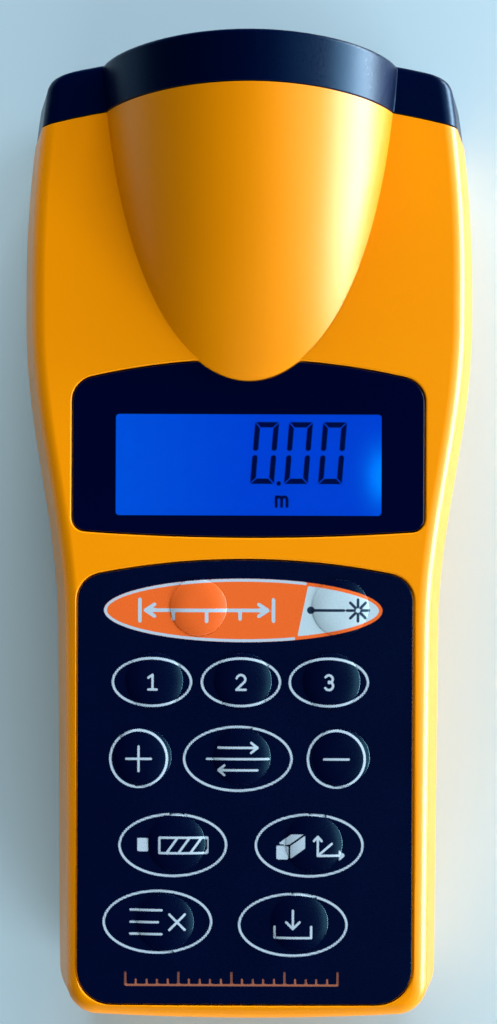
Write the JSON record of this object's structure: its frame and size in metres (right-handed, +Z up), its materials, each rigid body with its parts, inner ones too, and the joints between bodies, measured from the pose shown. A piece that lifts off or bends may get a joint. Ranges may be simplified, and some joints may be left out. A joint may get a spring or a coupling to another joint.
{
  "type": "ultrasonic distance meter",
  "caption": "Handheld ultrasonic distance meter with a raised sensor nose, sound horn, display window, round keys on a printed film and a sliding battery door.",
  "frame": {"origin": "middle of the flat back that the meter lies on, under the centre of its outline", "axes": "+X to the right as the display is read, +Y along the case to the sensor end, +Z up out of the face"},
  "size_m": [0.0662, 0.1396, 0.048],
  "materials": {
    "case_plastic": "satin moulded ABS",
    "cap_plastic": "satin black ABS",
    "horn_plastic": "matt black ABS",
    "can_metal": "drawn aluminium",
    "grille_metal": "perforated steel",
    "resin": "moulded resin",
    "boot_rubber": "black rubber",
    "laser_brass": "turned brass",
    "laser_glass": "clear lens",
    "lens_acrylic": "glossy acrylic with a black border printed behind",
    "lcd_glass": "blue display glass",
    "lcd_white": "white plastic",
    "guide_acrylic": "light guide",
    "led_resin": "clear resin",
    "strip_rubber": "silicone",
    "film_print": "printed polyester film",
    "mat_silicone": "silicone",
    "board_laminate": "green solder mask",
    "chip_resin": "moulded resin",
    "coil": "ferrite and winding",
    "capacitor_sleeve": "shrink sleeve",
    "crystal_metal": "drawn can",
    "battery_jacket": "printed metal jacket",
    "snap_plastic": "moulded plastic",
    "lead_red": "insulated wire",
    "lead_white": "insulated wire",
    "lead_blue": "insulated wire",
    "screw_steel": "zinc-plated steel"
  },
  "bodies": {
    "case": {"front_shell": "case_plastic", "rear_shell": "case_plastic", "front_cap": "cap_plastic", "horn": "horn_plastic", "transducer_can": "can_metal", "transducer_grille": "grille_metal", "transducer_base": "resin", "transducer_boot": "boot_rubber", "laser_barrel": "laser_brass", "laser_lens": "laser_glass", "display_lens": "lens_acrylic", "lcd_glass": "lcd_glass", "lcd_frame": "lcd_white", "lcd_backlight": "guide_acrylic", "backlight_led": "led_resin", "contact_strip": "strip_rubber", "keypad_film": "film_print", "key_mat": "mat_silicone", "main_board": "board_laminate", "controller_chip": "chip_resin", "drive_transformer": "coil", "capacitors": "capacitor_sleeve", "crystal": "crystal_metal", "battery": "battery_jacket", "battery_snap": "snap_plastic", "battery_leads": "lead_red", "transducer_leads": "lead_white", "laser_leads": "lead_blue", "case_screws": "screw_steel", "board_screws": "screw_steel"},
    "battery_door": {"battery_door": "case_plastic"},
    "measure_key": {"measure_key": "film_print"},
    "laser_key": {"laser_key": "film_print"},
    "memory_1_key": {"memory_1_key": "film_print"},
    "memory_2_key": {"memory_2_key": "film_print"},
    "memory_3_key": {"memory_3_key": "film_print"},
    "plus_key": {"plus_key": "film_print"},
    "units_key": {"units_key": "film_print"},
    "minus_key": {"minus_key": "film_print"},
    "area_key": {"area_key": "film_print"},
    "volume_key": {"volume_key": "film_print"},
    "clear_key": {"clear_key": "film_print"},
    "store_key": {"store_key": "film_print"}
  },
  "joints": [
    {"name": "battery_door_slide", "type": "slide", "parent": "case", "child": "battery_door", "axis": [0, -1, 0], "range_m": [0, 0.06]},
    {"name": "measure_key_press", "type": "slide", "parent": "case", "child": "measure_key", "axis": [0, 0, -1], "range_m": [0, 0.0006], "stiffness_N_per_m": 1500, "deforming": ["key_mat"]},
    {"name": "laser_key_press", "type": "slide", "parent": "case", "child": "laser_key", "axis": [0, 0, -1], "range_m": [0, 0.0006], "stiffness_N_per_m": 1500, "deforming": ["key_mat"]},
    {"name": "memory_1_key_press", "type": "slide", "parent": "case", "child": "memory_1_key", "axis": [0, 0, -1], "range_m": [0, 0.0006], "stiffness_N_per_m": 1500, "deforming": ["key_mat"]},
    {"name": "memory_2_key_press", "type": "slide", "parent": "case", "child": "memory_2_key", "axis": [0, 0, -1], "range_m": [0, 0.0006], "stiffness_N_per_m": 1500, "deforming": ["key_mat"]},
    {"name": "memory_3_key_press", "type": "slide", "parent": "case", "child": "memory_3_key", "axis": [0, 0, -1], "range_m": [0, 0.0006], "stiffness_N_per_m": 1500, "deforming": ["key_mat"]},
    {"name": "plus_key_press", "type": "slide", "parent": "case", "child": "plus_key", "axis": [0, 0, -1], "range_m": [0, 0.0006], "stiffness_N_per_m": 1500, "deforming": ["key_mat"]},
    {"name": "units_key_press", "type": "slide", "parent": "case", "child": "units_key", "axis": [0, 0, -1], "range_m": [0, 0.0006], "stiffness_N_per_m": 1500, "deforming": ["key_mat"]},
    {"name": "minus_key_press", "type": "slide", "parent": "case", "child": "minus_key", "axis": [0, 0, -1], "range_m": [0, 0.0006], "stiffness_N_per_m": 1500, "deforming": ["key_mat"]},
    {"name": "area_key_press", "type": "slide", "parent": "case", "child": "area_key", "axis": [0, 0, -1], "range_m": [0, 0.0006], "stiffness_N_per_m": 1500, "deforming": ["key_mat"]},
    {"name": "volume_key_press", "type": "slide", "parent": "case", "child": "volume_key", "axis": [0, 0, -1], "range_m": [0, 0.0006], "stiffness_N_per_m": 1500, "deforming": ["key_mat"]},
    {"name": "clear_key_press", "type": "slide", "parent": "case", "child": "clear_key", "axis": [0, 0, -1], "range_m": [0, 0.0006], "stiffness_N_per_m": 1500, "deforming": ["key_mat"]},
    {"name": "store_key_press", "type": "slide", "parent": "case", "child": "store_key", "axis": [0, 0, -1], "range_m": [0, 0.0006], "stiffness_N_per_m": 1500, "deforming": ["key_mat"]}
  ]
}
